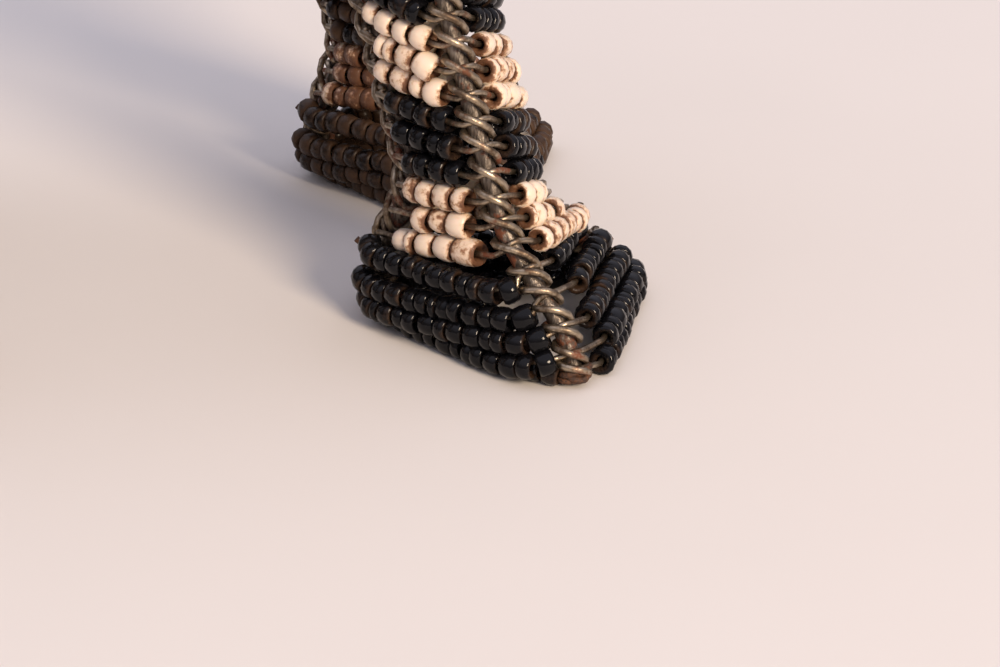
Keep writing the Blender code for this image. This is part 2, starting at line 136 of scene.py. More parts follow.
class Finish:
    """A material: a Principled shader whose sockets are set by name."""

    def __init__(self, name, plain):
        self.material = bpy.data.materials.new(name)
        self.material.use_nodes = True
        self.nodes = self.material.node_tree.nodes
        self.links = self.material.node_tree.links
        self.shader = self.nodes["Principled BSDF"]
        for socket, value in plain.items():
            self.shader.inputs[socket].default_value = value
        self.place = self.node("ShaderNodeTexCoord", {}, {}).outputs["Object"]

    def node(self, kind, settings, sockets):
        """Any node: its type, its settings, and the values or links of its sockets."""
        made = self.nodes.new(kind)
        for key, value in settings.items():
            setattr(made, key, value)
        for key, value in sockets.items():
            self.feed(made.inputs[key], value)
        return made

    def feed(self, socket, value):
        """Link a flow or an output to a socket, or set its plain value."""
        value = value.socket if isinstance(value, Flow) else value
        if isinstance(value, bpy.types.NodeSocket):
            self.links.new(value, socket)
        else:
            socket.default_value = value

    def maths(self, operation, first, second):
        """A Math node on two numbers or flows."""
        made = self.node("ShaderNodeMath", {"operation": operation}, {0: first, 1: second})
        return Flow(self, made.outputs[0])

    def noise(self, grain, detail=3.0, rough=0.55, stretch=None):
        """Cloudy noise on the object's own coordinates, with lumps about one grain across."""
        place = self.place
        if stretch:
            place = self.node("ShaderNodeMapping", {}, {"Vector": place, "Scale": stretch}).outputs[0]
        sockets = {"Vector": place, "Scale": 1.0 / grain, "Detail": detail, "Roughness": rough}
        return Flow(self, self.node("ShaderNodeTexNoise", {}, sockets).outputs[0])

    def attribute(self, name):
        """A number stored on the mesh."""
        return Flow(self, self.node("ShaderNodeAttribute", {"attribute_name": name}, {}).outputs["Fac"])

    def blend(self, below, over, mask):
        """A colour mixed over another by a mask."""
        made = self.node("ShaderNodeMix", {"data_type": "RGBA"}, {})
        for socket, value in ((made.inputs[0], mask), (made.inputs[6], below), (made.inputs[7], over)):
            self.feed(socket, value)
        return made.outputs[2]

    def relief(self, height, depth):
        """A bump of this depth that feeds the shader's normal."""
        made = self.node("ShaderNodeBump", {}, {"Height": height, "Distance": depth})
        self.feed(self.shader.inputs["Normal"], made.outputs[0])

    def finish(self, **sockets):
        """Feed the shader's sockets, named with underscores for spaces, and give the material."""
        for name, value in sockets.items():
            self.feed(self.shader.inputs[name.replace("_", " ")], value)
        return self.material


print("shader tools ready")

# %% [markdown]
# ## Glass
#
# The light beads are opaque glass of a warm cream, slightly milky, with brown grime and rust in the holes
# and where two beads meet. The dark ones are black glass that mirrors its surroundings. Both take the grime
# from the same two numbers, stored on each bead: `edge` is 0 round its waist and 1 in its hole, and `luck`
# differs from bead to bead, so that some stay clean.
# On the left front leg `luck` is raised for every bead, which darkens that whole leg: partly stain, partly
# painted shade.

# %% Cream glass
CREAM = (0.80, 0.66, 0.53, 1.0)
WARM_CREAM = (0.56, 0.37, 0.22, 1.0)
GRIME = (0.115, 0.046, 0.018, 1.0)
OLD_RUST = (0.24, 0.095, 0.035, 1.0)


def cream_glass():
    """Cream glass under stains: a wide tan stain, rust inside it, and dark grime where it is thickest."""
    made = Finish("cream_glass", {
        "Subsurface Weight": 0.18, "Subsurface Scale": 0.0012, "Subsurface Radius": (1.0, 0.55, 0.3),
        "IOR": 1.5, "Coat Weight": 0.15, "Coat Roughness": 0.1,
    })
    edge, luck = made.attribute("edge"), made.attribute("luck")
    cloud = made.noise(5.0 * MM, 2.0)
    speck = made.noise(0.8 * MM, 4.0, 0.65)
    # where luck is raised for a whole leg, these stains also carry painted shade
    dirt = edge * 0.62 + cloud * 0.60 + speck * 1.25 + luck * 0.30
    stain = dirt.ramp(1.08, 1.46)
    rust = dirt.ramp(1.28, 1.50)
    grime = (dirt + edge * 0.10).ramp(1.42, 1.68)
    colour = made.blend(CREAM, WARM_CREAM, stain * 0.8)
    colour = made.blend(colour, OLD_RUST, rust * 0.85)
    colour = made.blend(colour, GRIME, grime)
    made.relief(speck * (0.3 + grime), 0.05 * MM)
    return made.finish(Base_Color=colour, Roughness=0.26 + stain * 0.14 + grime * 0.3)


CREAM_GLASS = cream_glass()
print("cream glass with", len(CREAM_GLASS.node_tree.nodes), "nodes")

# %% Black glass
BLACK = (0.004, 0.004, 0.005, 1.0)
BROWN_FILM = (0.060, 0.032, 0.017, 1.0)


def black_glass():
    """Black glass with a brown film that gathers at the ends of the beads."""
    made = Finish("black_glass", {"IOR": 1.5, "Specular IOR Level": 0.20})
    edge, luck = made.attribute("edge"), made.attribute("luck")
    cloud = made.noise(6.0 * MM, 2.0)
    speck = made.noise(0.7 * MM, 4.0, 0.65)
    # where luck is raised for a whole leg, the film also carries painted shade
    film = (edge * 0.30 + cloud * 0.7 + speck * 0.6 + luck * 0.35).ramp(1.02, 1.55)
    made.relief(speck, 0.02 * MM)
    return made.finish(Base_Color=made.blend(BLACK, BROWN_FILM, film), Roughness=0.11 + film * 0.38)


BLACK_GLASS = black_glass()
print("black glass with", len(BLACK_GLASS.node_tree.nodes), "nodes")

# %% [markdown]
# ## Wire
#
# The armature is a dull grey-brown wire with drawn streaks along it and specks of rust. The binding wire is
# thinner and has kept some of its bronze shine on the outside of each turn. At the toes it has rusted
# through.

# %% Wire finishes
DULL_STEEL = (0.105, 0.085, 0.069, 1.0)
PALE_STEEL = (0.25, 0.215, 0.18, 1.0)
BRONZE = (0.40, 0.325, 0.235, 1.0)
TARNISH = (0.11, 0.075, 0.05, 1.0)
DARK_RUST = (0.045, 0.022, 0.013, 1.0)
RED_RUST = (0.15, 0.045, 0.017, 1.0)


def armature_finish():
    """Drawn steel: streaks along the wire, rust in lumps."""
    made = Finish("armature_steel", {})
    streak = made.noise(0.35 * MM, 3.0, 0.6, (1.0, 1.0, 0.18))
    rust = (made.noise(3.5 * MM, 3.0) + made.noise(0.6 * MM, 3.0) * 0.5).ramp(0.76, 0.92)
    colour = made.blend(made.blend(DULL_STEEL, PALE_STEEL, streak.ramp(0.45, 0.65)), RED_RUST, rust)
    made.relief(streak + rust * 0.6, 0.12 * MM)
    return made.finish(Base_Color=colour, Roughness=0.42 + rust * 0.35, Metallic=0.75 - rust * 0.65)


def binding_finish():
    """Bronze-coloured wire with tarnish and rust in patches."""
    made = Finish("binding_bronze", {})
    patch = made.noise(2.2 * MM, 3.0)
    speck = made.noise(0.45 * MM, 3.0, 0.6)
    tarnish = (patch + speck * 0.4).ramp(0.58, 0.86)
    rust = (made.noise(4.0 * MM, 2.0) + speck * 0.3).ramp(0.70, 0.86)
    colour = made.blend(made.blend(BRONZE, TARNISH, tarnish), RED_RUST, rust)
    made.relief(speck, 0.05 * MM)
    rough = 0.33 + tarnish * 0.2 + rust * 0.25
    return made.finish(Base_Color=colour, Roughness=rough, Metallic=0.95 - rust * 0.7)


def rusted_finish():
    """Thin wire that has rusted through, with dirt packed round it."""
    made = Finish("rusted_wire", {"Metallic": 0.1})
    speck = made.noise(0.5 * MM, 4.0, 0.65)
    made.relief(speck, 0.15 * MM)
    colour = made.blend(DARK_RUST, GRIME, speck.ramp(0.4, 0.65))
    return made.finish(Base_Color=colour, Roughness=0.6 + speck * 0.2)


RUSTED = rusted_finish()
ARMATURE = armature_finish()
BINDING = binding_finish()
print("wire finishes:", ARMATURE.name, BINDING.name, RUSTED.name)

# %% [markdown]
# ## A limb as a function of the row number
#
# Every limb is a tube with one flat side between each two neighbouring armature wires. It is described by
# one function: for a row number s it gives the place where that row crosses each wire. Beads, binding wire
# and armature are all worked out from it, so they can't come apart. Row k has its beads at s = k + 1/2.

# %% Small helpers for vectors and curves
ROW_PITCH = 3.00 * MM
BEAD_RADIUS = 1.5 * MM
WIRE_RADIUS = 1.0 * MM
BINDING_RADIUS = 0.35 * MM
DENSE = 400                  # samples on a centre line before it is divided into rows
SLOPE_STEP = 0.01            # small step in row number, for slopes


def unit(vectors):
    """The vectors scaled to length one."""
    return vectors / np.linalg.norm(vectors, axis=-1, keepdims=True)


def smooth_step(t):
    """0 below t = 0, 1 above t = 1, and 3t^2 - 2t^3 between."""
    t = np.clip(t, 0.0, 1.0)
    return t * t * (3.0 - 2.0 * t)


def curve_through(points, count):
    """A Catmull-Rom curve through points along the second last axis, sampled at count places."""
    points = np.asarray(points, dtype=float)
    first = 2 * points[..., :1, :] - points[..., 1:2, :]
    last = 2 * points[..., -1:, :] - points[..., -2:-1, :]
    padded = np.concatenate([first, points, last], axis=-2)
    place = np.linspace(0, points.shape[-2] - 1, count)
    span = np.minimum(place.astype(int), points.shape[-2] - 2)
    t = (place - span)[:, None]
    a, b, c, d = (padded[..., span + k, :] for k in range(4))
    return 0.5 * (2 * b + (c - a) * t + (2 * a - 5 * b + 4 * c - d) * t**2 + (3 * b - a - 3 * c + d) * t**3)


print("curve check, middle of a straight line:", curve_through([[0, 0], [1, 1], [2, 2]], 3)[1])

# %% Barrel, neck and head as tubes


def tube(stations, wires):
    """Row crossings of a tube in the mid-plane, and its number of rows.

    Each station is (x, z, half height, half width). A section stands square to the centre line, and its
    wires lie on an ellipse at equal angles, the first on the back. Rows are evenly spaced along the wires'
    mean length.
    """
    line = curve_through(stations, DENSE)
    along = unit(np.gradient(line[:, :2], axis=0))
    angle = np.radians(90.0 + 360.0 * np.arange(wires) / wires)
    rise = line[:, 2, None] * np.sin(angle)
    centres = np.stack([
        line[:, 0, None] - along[:, 1, None] * rise,
        line[:, 3, None] * np.cos(angle),
        line[:, 1, None] + along[:, 0, None] * rise,
    ], axis=-1)
    steps = np.linalg.norm(np.diff(centres, axis=0), axis=-1).mean(axis=1)
    travelled = np.concatenate([[0.0], np.cumsum(steps)])
    rows = max(2, round(travelled[-1] / ROW_PITCH))
    place = travelled / travelled[-1] * rows
    flat = centres.reshape(DENSE, -1)
    low_slope = (flat[1] - flat[0]) / (place[1] - place[0])
    high_slope = (flat[-1] - flat[-2]) / (place[-1] - place[-2])

    def places(s):
        s = np.atleast_1d(s)
        inside = np.clip(s, 0.0, rows)
        here = np.stack([np.interp(inside, place, column) for column in flat.T], axis=-1)
        here += np.minimum(s, 0.0)[:, None] * low_slope + np.maximum(s - rows, 0.0)[:, None] * high_slope
        return here.reshape(len(s), wires, 3)

    return places, rows


# The sizes are those of the frame's solids, which stand for the same limbs.
BARREL_LENGTH = 98.0 * MM
BARREL_HEIGHT = 54.0 * MM
BARREL_WIDTH = 50.0 * MM
BARREL_CENTRE = 84.0 * MM
BARREL_WIRES = 8
BARREL_SHAPE = (
    (0.00, 0.16, 0.16, 0.24),
    (0.03, 0.50, 0.48, 0.20),
    (0.10, 0.83, 0.82, 0.11),
    (0.22, 0.98, 0.97, 0.02),
    (0.42, 0.94, 0.97, 0.03),
    (0.62, 0.96, 1.00, -0.02),
    (0.80, 0.98, 0.96, 0.00),
    (0.92, 0.78, 0.75, 0.06),
    (0.98, 0.48, 0.46, 0.10),
    (1.00, 0.16, 0.16, 0.11),
)
NECK_LENGTH = 62.0 * MM
NECK_LEAN = 28.0
NECK_SETBACK = 20.0 * MM
NECK_DEPTH = 40.0 * MM
NECK_WIDTH = 31.0 * MM
NECK_WIRES = 5
NECK_SHAPE = (
    (0.00, 1.00, 1.00, 0.00),
    (0.25, 0.88, 0.88, -0.03),
    (0.50, 0.74, 0.77, -0.04),
    (0.75, 0.62, 0.62, -0.02),
    (1.00, 0.50, 0.44, 0.02),
)
HEAD_LENGTH = 50.0 * MM
HEAD_DROP = 30.0
HEAD_DEPTH = 26.0 * MM
HEAD_WIDTH = 20.0 * MM
HEAD_SETBACK = 9.0 * MM
HEAD_RISE = 6.0 * MM
HEAD_WIRES = 5
HEAD_SHAPE = (
    (0.00, 0.20, 0.25, 0.10),
    (0.04, 0.62, 0.66, 0.08),
    (0.14, 0.92, 0.92, 0.03),
    (0.30, 1.00, 1.00, 0.00),
    (0.50, 0.80, 0.84, 0.14),
    (0.70, 0.60, 0.68, 0.26),
    (0.88, 0.58, 0.70, 0.26),
    (0.97, 0.44, 0.52, 0.24),
    (1.00, 0.20, 0.25, 0.22),
)
STANCE_SHIFT = 3.0 * MM
SHIFT = np.mean(list(SOLES.values()), axis=0) + np.array([STANCE_SHIFT, 0.0, 0.0])


def barrel_stations():
    """Centre line and half sizes of the barrel, to its wires."""
    half_height, half_width = BARREL_HEIGHT / 2 - BEAD_RADIUS, BARREL_WIDTH / 2 - BEAD_RADIUS
    rump, reach = BEAD_RADIUS - BARREL_LENGTH / 2, BARREL_LENGTH - 2 * BEAD_RADIUS
    return [(rump + reach * along, BARREL_CENTRE + half_height * lift, half_height * tall, half_width * wide)
            for along, tall, wide, lift in BARREL_SHAPE]


def neck_stations():
    """Centre line and half sizes of the neck, from inside the barrel to inside the head."""
    lean = np.radians(NECK_LEAN)
    root = np.array([BARREL_LENGTH / 2 - NECK_SETBACK, BARREL_CENTRE + BARREL_HEIGHT / 6])
    along, across = np.array([np.sin(lean), np.cos(lean)]), np.array([np.cos(lean), -np.sin(lean)])
    half_depth, half_width = NECK_DEPTH / 2 - BEAD_RADIUS, NECK_WIDTH / 2 - BEAD_RADIUS
    return [(*(root + NECK_LENGTH * (share * along + bow * across)), half_depth * deep, half_width * wide)
            for share, deep, wide, bow in NECK_SHAPE]


def head_stations(neck_top):
    """Centre line and half sizes of the head, from the poll to the muzzle."""
    drop = np.radians(HEAD_DROP)
    poll = np.array(neck_top[:2]) + np.array([-HEAD_SETBACK, HEAD_RISE])
    along, up = np.array([np.cos(drop), -np.sin(drop)]), np.array([np.sin(drop), np.cos(drop)])
    half_depth, half_width = HEAD_DEPTH / 2 - BEAD_RADIUS, HEAD_WIDTH / 2 - BEAD_RADIUS
    reach = HEAD_LENGTH - 2 * BEAD_RADIUS
    return [(*(poll + reach * share * along + half_depth * lift * up), half_depth * deep, half_width * wide)
            for share, deep, wide, lift in HEAD_SHAPE]


def moved(places):
    """The same crossings, moved as the frame's figure is."""
    return lambda s: places(s) + SHIFT


barrel, barrel_rows = tube(barrel_stations(), BARREL_WIRES)
neck, neck_rows = tube(neck_stations(), NECK_WIRES)
head, head_rows = tube(head_stations(neck_stations()[-1]), HEAD_WIRES)
barrel, neck, head = moved(barrel), moved(neck), moved(head)
print("rows: barrel", barrel_rows, "neck", neck_rows, "head", head_rows)

# %% The legs
LEG_RADIUS = 7.9 * MM
FLARE_BOTTOM = np.array([4.0, 1.0, 4.0]) * MM       # where each wire starts to bend in from the hoof
FLARE_TOP = np.array([17.0, 17.0, 20.0]) * MM       # and where it runs on up the leg
HOOF_OFFSET = 4.6 * MM
SHANK_SET = 2.3 * MM
LEG_YAW = -85.0
HOOF_ROWS = 5
FIRST_ROW = 0.37 * MM
HOOF_PITCH = 2.27 * MM
LEG_PITCH = 2.70 * MM
FORE_DROP = (2.3 * MM, 4.6 * MM)
FORE_DROP_AT = (9.0 * MM, 16.0 * MM)
AFT_RISE = (-4.1 * MM, 3.4 * MM)
AFT_RISE_AT = (6.0 * MM, 38.0 * MM)
LEG_WIRES = 3
FRONT_LEAN = -0.211
HIND_LEAN = 0.145
SIDE_LEAN = 0.239


def row_height(s):
    """Height at which row s crosses a leg's first wire."""
    in_hoof = np.minimum(s, HOOF_ROWS)
    return FIRST_ROW + HOOF_PITCH * in_hoof + LEG_PITCH * (s - in_hoof)


def leg_wires(foot, side, lean, height):
    """Places of a leg's wires at heights, with the wires along the last but one axis.

    The axis leans, the radius and the turn go from the hoof's to the leg's over the flare, and the wires
    stand a third of a turn apart.
    """
    in_hoof = 1.0 - smooth_step((height - FLARE_BOTTOM) / (FLARE_TOP - FLARE_BOTTOM))
    radius = LEG_RADIUS + (HOOF_RADIUS - LEG_RADIUS) * in_hoof
    yaw = np.radians(LEG_YAW + (HOOF_YAW - LEG_YAW) * in_hoof + 360.0 * np.arange(LEG_WIRES) / LEG_WIRES)
    inward = SIDE_LEAN * height - HOOF_OFFSET * (1.0 - in_hoof)
    x = foot[0] + lean * height - SHANK_SET * (1.0 - in_hoof) + radius * np.cos(yaw)
    y = foot[1] - side * inward + radius * np.sin(yaw)
    return np.stack([x, y, height], axis=-1)


def leg_places(foot, side, lean):
    """Row crossings of a leg: the rows drop towards the second wire, and rise up the leg on the third."""
    def places(s):
        height = row_height(np.atleast_1d(s))
        drop = np.interp(height, FORE_DROP_AT, FORE_DROP)
        rise = np.interp(height, AFT_RISE_AT, AFT_RISE)
        return leg_wires(foot, side, lean, np.stack([height, height - drop, height + rise], axis=-1))
    return places


LEG_TOP = HOOF_ROWS + int(np.ceil((BARREL_CENTRE - row_height(HOOF_ROWS)) / LEG_PITCH))
print("a leg has", LEG_TOP, "rows, of which", HOOF_ROWS, "in the hoof")

# %% [markdown]
# ## One bead
#
# A seed bead is a slice of glass tube, melted until its edges are round. It is a ring: a section carried
# round the string. The section is a superellipse between the hole and the outside, and its power says how
# square the bead's shoulders are. All beads of a piece are made in one array: section point times turn
# times bead.

# %% Beads as a mesh
HOLE_SHARE = 0.34            # the hole's radius as a share of the bead's
# Angles on the section: five points on the outside and its shoulders, two in the hole
SECTION = np.radians([15.0, 50.0, 90.0, 130.0, 165.0, 232.0, 308.0])


def power_of(value, power):
    """|value| to a power, with the sign kept."""
    return np.sign(value) * np.abs(value) ** power


def ring_faces(outer, inner):
    """Quads of a grid that closes on itself both ways, as indexes."""
    i, j = np.meshgrid(np.arange(outer), np.arange(inner), indexing="ij")
    k, m = (i + 1) % outer, (j + 1) % inner
    return np.stack([i * inner + j, i * inner + m, k * inner + m, k * inner + j], axis=-1).reshape(-1, 4)


def square_to(axis):
    """Two vectors square to each axis and to each other."""
    aside = np.where(np.abs(axis[:, 2:]) > 0.9, [[1.0, 0.0, 0.0]], [[0.0, 0.0, 1.0]])
    first = unit(np.cross(axis, aside))
    return first, np.cross(axis, first)


def add_mesh(name, points, faces, finishes, slots=None, numbers=None):
    """An object at the origin from arrays, shaded smooth, with material slots and stored numbers."""
    mesh = bpy.data.meshes.new(name)
    mesh.from_pydata(points.reshape(-1, 3), [], faces if isinstance(faces, list) else faces.tolist())
    for finish in finishes:
        mesh.materials.append(finish)
    if slots is not None:
        mesh.polygons.foreach_set("material_index", slots)
    for key, values in (numbers or {}).items():
        stored = mesh.attributes.new(key, "FLOAT", "POINT")
        stored.data.foreach_set("value", values.ravel().astype(np.float32))
    mesh.shade_smooth()
    mesh.update()
    made = bpy.data.objects.new(name, mesh)
    bpy.context.scene.collection.objects.link(made)
    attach(made, "root")
    return made


def bead_mesh(name, beads, around):
    """Beads from rows of numbers: centre, axis, length, diameter, shoulder power, black or not, luck.

    A section point at angle a lies at half length * cos(a)^p along the string and at middle radius + half
    wall * sin(a)^p from it.
    """
    centre, axis = beads[:, 0:3], unit(beads[:, 3:6])
    length, diameter, power, black, luck = beads[:, 6:].T
    first, second = square_to(axis)
    along = length[:, None] / 2 * power_of(np.cos(SECTION), power[:, None])
    wall = diameter * (1 - HOLE_SHARE) / 4
    away = (diameter / 2 - wall)[:, None] + wall[:, None] * power_of(np.sin(SECTION), power[:, None])
    turn = 2 * np.pi * np.arange(around) / around
    spoke = first[:, None] * np.cos(turn)[:, None] + second[:, None] * np.sin(turn)[:, None]
    points = (centre[:, None, None] + axis[:, None, None] * along[:, None, :, None]
              + spoke[:, :, None] * away[:, None, :, None])
    ring = ring_faces(around, len(SECTION))
    stride = around * len(SECTION)
    faces = (ring[None] + stride * np.arange(len(beads))[:, None, None]).reshape(-1, 4)
    slots = np.repeat(black.astype(np.int32), len(ring))
    inner = np.where(np.sin(SECTION) < 0, 1.0, np.abs(np.cos(SECTION)) ** 3)
    edge = np.broadcast_to(inner, (len(beads), around, len(SECTION)))
    numbers = {"edge": edge, "luck": np.repeat(luck, stride)}
    return add_mesh(name, points, faces, [CREAM_GLASS, BLACK_GLASS], slots, numbers)


print("a bead has", 12 * len(SECTION), "faces with 12 round its string")

# %% [markdown]
# ## Wire as a tube along a path
#
# A wire is a circle carried along a path. Its cross-section must not twist, so each station's frame is the
# one before it, turned only as far as the path turns. All paths of one piece have equally many points and
# are carried together.

# %% Wires as a mesh


def above_floor(height, least, ease=0.3 * MM):
    """Heights kept above the least.

    With h = height - least and c the ease, a height becomes least + (h + sqrt(h^2 + c^2)) / 2.
    """
    spare = height - least
    return least + (spare + np.sqrt(spare**2 + ease**2)) / 2


def wire_mesh(name, paths, radius, sides, finish):
    """Closed round wires along paths, an array of path times point times three, none of them below the floor.

    The side vector at a point is the last one with its part along the path taken out. A fan closes each end.
    """
    paths = np.concatenate([paths[..., :2], above_floor(paths[..., 2:], radius)], axis=-1)
    count, size = paths.shape[:2]
    along = unit(np.gradient(paths, axis=1))
    side = square_to(along[:, 0])[0]
    sides_at = []
    for k in range(size):
        side = unit(side - along[:, k] * (side * along[:, k]).sum(axis=-1, keepdims=True))
        sides_at.append(side)
    first = np.stack(sides_at, axis=1)
    second = np.cross(along, first)
    turn = 2 * np.pi * np.arange(sides) / sides
    spoke = first[:, :, None] * np.cos(turn)[:, None] + second[:, :, None] * np.sin(turn)[:, None]
    points = paths[:, :, None] + spoke * radius
    i, j = np.meshgrid(np.arange(size - 1) * sides, np.arange(sides), indexing="ij")
    k = (j + 1) % sides
    skin = np.stack([i + j, i + k, i + sides + k, i + sides + j], axis=-1).reshape(-1, 4)
    stride = size * sides
    step = stride * np.arange(count)[:, None, None]
    faces = (skin[None] + step).reshape(-1, 4).tolist()
    start = np.arange(sides)[::-1]
    faces += (start[None] + step[:, 0]).tolist()
    faces += (start[None, ::-1] + (size - 1) * sides + step[:, 0]).tolist()
    return add_mesh(name, points, faces, [finish])


print("wire tool ready")

# %% [markdown]
# ## Stringing a limb
#
# On the real figure the binding wire leaves one side's last bead, passes over the armature wire and enters
# the next side's first bead. A second turn of wire winds round the armature on top of it and holds it down.
# Beads vary: some are thin discs, some long, none quite straight. A limb's looks are a few numbers: how far
# the rows stand off the armature, how much they bow outward, and how far from each wire the beads begin.

# %% A limb and its strings
SHARES = np.linspace(0.0, 1.0, 25)       # where a string is measured
RAGGED = 0.35 * MM                       # how unevenly the beads begin
GAP_LIMIT = 0.36                         # the most of a string that stays empty at one end


class Limb:
    """Rows of beads between armature wires, worked out from where row s crosses each wire."""

    def __init__(self, places, first, last, stand_off=0.0, bow=0.0, gaps=(0.0, 0.0), sink=0.0):
        self.places = places
        self.rows = np.arange(first, last) + 0.5
        self.stand_off = stand_off
        self.bow = bow
        self.sink = sink
        self.here = places(self.rows)
        self.wires = self.here.shape[1]
        self.sides = self.wires if self.wires > 2 else 1
        self.there = np.roll(self.here, -1, axis=1)
        self.out = self.normals(self.rows)
        self.chord = np.linalg.norm(self.there - self.here, axis=-1)
        r, w = np.meshgrid(np.arange(len(self.rows)), np.arange(self.sides), indexing="ij")
        string = self.at(r[..., None], w[..., None], SHARES)
        step = np.linalg.norm(np.diff(string, axis=2), axis=-1)
        self.travel = np.concatenate([np.zeros((*r.shape, 1)), np.cumsum(step, axis=2)], axis=2)
        self.length = self.travel[..., -1]
        start, end = gaps
        ragged = CHANCE.uniform(0.0, RAGGED, (2, *self.length.shape))
        self.start = np.minimum(start + ragged[0], GAP_LIMIT * self.length)
        self.end = np.minimum(end + ragged[1], GAP_LIMIT * self.length)

    def climb(self, s):
        """Direction of each wire at row s."""
        return unit(self.places(s + SLOPE_STEP) - self.places(s - SLOPE_STEP))

    def normals(self, s):
        """Outward direction of each side at row s: square to the row and to the wires beside it."""
        here = self.places(s)
        climb = self.climb(s)
        return unit(np.cross(np.roll(here, -1, axis=1) - here, climb + np.roll(climb, -1, axis=1)))

    def at(self, row, side, share):
        """Points on the strings, at a share u of the way between two wires. The bow goes with 4u(1 - u)."""
        share = np.asarray(share)[..., None]
        here, there, out = self.here[row, side], self.there[row, side], self.out[row, side]
        hump = 4 * share * (1 - share) * self.bow * self.chord[row, side][..., None] ** 2
        return here + (there - here) * share + out * (self.stand_off + hump)

    def share_at(self, row, side, distance):
        """The share of the way between two wires at a distance along the string."""
        return np.interp(distance, self.travel[row, side], SHARES)

    def corner(self, wire, s):
        """Centre, outward, tangent and climbing directions of a wire at row numbers s."""
        places = self.places(s)
        climb = self.climb(s)[:, wire]
        out = places[:, wire] - places.mean(axis=1)
        out = unit(out - climb * (out * climb).sum(axis=-1, keepdims=True))
        centre = places[:, wire] - out * np.broadcast_to(self.sink, self.wires)[wire]
        return centre, out, np.cross(climb, out), climb


print("limb tool ready")

# %% Fill the strings with beads
BEAD_KINDS = {
    # mean length, mean diameter, spread of the diameter, chance of a thin disc, shoulder powers
    "cream": (2.40 * MM, 3.00 * MM, 0.100, 0.10, (0.84, 1.28)),
    "black": (2.05 * MM, 2.92 * MM, 0.055, 0.05, (0.80, 1.15)),
    "hoof": (2.02 * MM, 2.94 * MM, 0.045, 0.04, (0.80, 1.10)),
}
DISC_LENGTH = 0.5            # a thin disc's length as a share of the mean
SLACK = 0.03 * MM            # play between two beads
SHAKE = 0.16 * MM            # how far a bead sits off its string
TILT = 0.09                  # and how far it is tipped, as a slope
SHARE_STEP = 0.02            # small step along a string, for its direction


def fill(length, kind):
    """Lengths of the beads that fill a string: random ones, scaled to fit."""
    mean, _, _, disc, _ = BEAD_KINDS[kind]
    count = max(1, round(length / mean))
    sizes = CHANCE.uniform(0.78, 1.24, count)
    if count > 2:
        sizes = np.where(CHANCE.random(count) < disc, DISC_LENGTH * sizes, sizes)
    return sizes / sizes.sum() * length


def string_beads(limb, colour_of_row, soil_and_shade=0.0, kinds=("cream", "black")):
    """One row of numbers for each bead of a limb, and the row and side it sits in.

    A row's colour, 0 or 1, picks its kind.
    """
    row, side, share, size, black, made = [], [], [], [], [], []
    for r, s in enumerate(limb.rows):
        colour = colour_of_row(int(np.floor(s)))
        for w in range(limb.sides):
            room = limb.length[r, w] - limb.start[r, w] - limb.end[r, w]
            lengths = fill(room, kinds[colour])
            centres = limb.start[r, w] + np.cumsum(lengths) - lengths / 2
            row += [r] * len(lengths)
            side += [w] * len(lengths)
            share += limb.share_at(r, w, centres).tolist()
            size += (lengths - SLACK).tolist()
            black += [colour] * len(lengths)
            made += [BEAD_KINDS[kinds[colour]]] * len(lengths)
    row, side, share = np.array(row), np.array(side), np.array(share)
    return finish_beads(limb, row, side, share, np.array(size), np.array(black), made, soil_and_shade)


def finish_beads(limb, row, side, share, size, black, kinds, soil_and_shade):
    """Places, axes and sizes of the beads, each with its own small error."""
    count = len(row)
    centre = limb.at(row, side, share)
    axis = unit(limb.at(row, side, share + SHARE_STEP) - limb.at(row, side, share - SHARE_STEP))
    centre = centre + CHANCE.normal(0.0, SHAKE / 2, (count, 3))
    axis = axis + CHANCE.normal(0.0, TILT, (count, 3))
    diameter = np.array([kind[1] * (1 + kind[2] * CHANCE.uniform(-1, 1)) for kind in kinds])
    power = np.array([CHANCE.uniform(*kind[4]) for kind in kinds])
    centre[:, 2] = np.maximum(centre[:, 2], diameter / 2)
    # a leg's offset raises luck for every bead of it: partly stain, partly painted shade
    luck = CHANCE.random(count) + soil_and_shade
    beads = np.column_stack([centre, axis, size, diameter, power, black, luck])
    return beads, row, side


def stripes(first):
    """0 for cream and 1 for black, in stripes of three rows counted from row first."""
    return lambda row: int((row - first) // 3) % 2


print("kinds of bead:", ", ".join(BEAD_KINDS))

# %% Keep only what the frame's solid holds
PROUD = 0.2 * MM             # a bead's middle may stand this far out of the solid


def inside_solid(node):
    """A test for points inside one of the frame's solids: behind the nearest face, or nearly."""
    solid = frame["nodes"][node].data
    faces = [face.vertices[:] for face in solid.polygons]
    tree = BVHTree.FromPolygons([vertex.co[:] for vertex in solid.vertices], faces)

    def test(points):
        kept = []
        for point in points:
            nearest, normal, _, _ = tree.find_nearest(Vector(point))
            kept.append((Vector(point) - nearest).dot(normal) < PROUD)
        return np.array(kept)

    return test


print("solids in the frame:", len(frame["nodes"]))

# %% Binding wire over the armature
ARCH = 0.5 * MM                              # how far the binding wire rises where it crosses
OVER = WIRE_RADIUS + BINDING_RADIUS          # from a wire's centre to the binding wire on it
LASHING_RADIUS = 0.42 * MM                   # the lashing is a little thicker
LASHED = OVER + BINDING_RADIUS + LASHING_RADIUS      # to a turn that lies over the binding wire
STEEP = 0.40                                 # how unevenly the lashing climbs, as a share of a row
RAISED = 0.22                                # and how much higher its front lies, as a share of a row
WANDER = 0.16                                # its turns are off by up to this share of a row
CLOSE = 0.75                                 # how nearly it clears the binding wire, as a share
LOOSE = 0.3 * MM                             # and the most that a loose turn adds
LASHING_TURN = np.radians(17.0)              # how far round the wire its crossings are set
CROSSING = np.radians([152.0, 90.0, 28.0])   # where the binding wire touches the armature, from side to side


